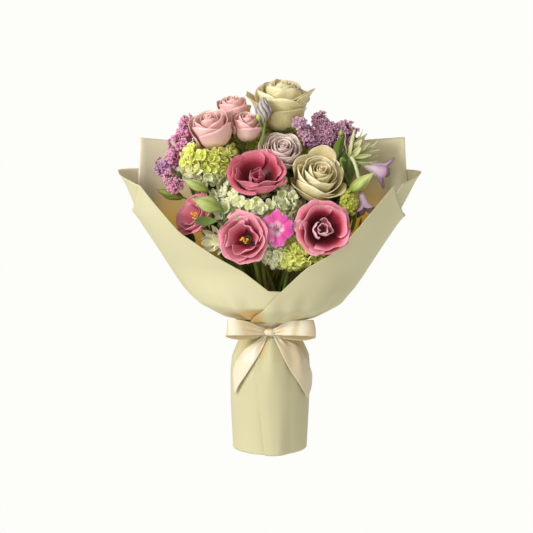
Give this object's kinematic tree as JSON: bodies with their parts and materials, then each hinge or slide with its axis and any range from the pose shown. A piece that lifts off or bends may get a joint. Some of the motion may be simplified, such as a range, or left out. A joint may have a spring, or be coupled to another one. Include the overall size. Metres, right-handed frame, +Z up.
{
  "type": "mixed flower bouquet",
  "caption": "Hand-tied mixed bouquet of roses, lisianthus and hydrangea in flared cream paper, with a rolled paper foot and a satin bow, standing on its level-cut stems.",
  "frame": {"origin": "on the floor under the middle of the paper foot", "axes": "+Z up the stems, the front of the bouquet looks along -Y, +X to the right of a viewer in front"},
  "size_m": [0.388, 0.2088, 0.4825],
  "materials": {
    "paper": "matte coated paper",
    "satin": "satin ribbon",
    "twine": "matte twine",
    "stem": "satin",
    "white_rose": "soft matte",
    "lilac_rose": "soft matte",
    "dusky_rose": "soft matte",
    "pink_petal": "soft matte",
    "white_petal": "soft matte",
    "magenta_petal": "soft matte",
    "lime_floret": "soft matte",
    "white_floret": "soft matte",
    "statice_magenta": "dry matte",
    "statice_mauve": "dry matte",
    "mauve_petal": "soft matte",
    "bract": "soft matte"
  },
  "bodies": {
    "root": {"alstroemeria_lower": "mauve_petal", "alstroemeria_stem": "stem", "alstroemeria_upper": "mauve_petal", "bract_fan": "bract", "bract_fan_stem": "stem", "bud_spray_stem": "stem", "dianthus": "magenta_petal", "dianthus_stem": "stem", "foliage_left_stem": "stem", "foliage_right_stem": "stem", "hydrangea_back": "lime_floret", "hydrangea_back_stem": "stem", "hydrangea_lime": "lime_floret", "hydrangea_lime_stem": "stem", "hydrangea_low": "lime_floret", "hydrangea_low_stem": "stem", "hydrangea_white": "white_floret", "hydrangea_white_stem": "stem", "leaf_spray_stem": "stem", "lime_bud_stem": "stem", "lisianthus_back": "pink_petal", "lisianthus_back_stem": "stem", "lisianthus_left": "pink_petal", "lisianthus_left_stem": "stem", "lisianthus_right": "pink_petal", "lisianthus_right_stem": "stem", "lisianthus_side": "pink_petal", "lisianthus_side_stem": "stem", "lisianthus_top": "pink_petal", "lisianthus_top_stem": "stem", "lisianthus_white": "white_petal", "lisianthus_white_stem": "stem", "ribbon_bow": "satin", "rose_back": "dusky_rose", "rose_back_stem": "stem", "rose_dusky_high": "dusky_rose", "rose_dusky_high_stem": "stem", "rose_dusky_left": "dusky_rose", "rose_dusky_left_stem": "stem", "rose_dusky_low": "dusky_rose", "rose_dusky_low_stem": "stem", "rose_lilac": "lilac_rose", "rose_lilac_stem": "stem", "rose_white_right": "white_rose", "rose_white_right_stem": "stem", "rose_white_top": "white_rose", "rose_white_top_stem": "stem", "statice_left": "statice_magenta", "statice_left_stem": "stem", "statice_right": "statice_mauve", "statice_right_stem": "stem", "stem_tie": "twine", "striped_bud_stem": "stem", "wrap_back_tall": "paper", "wrap_back_wide": "paper", "wrap_foot": "paper", "wrap_front_left": "paper", "wrap_front_right": "paper"}
  },
  "joints": []
}
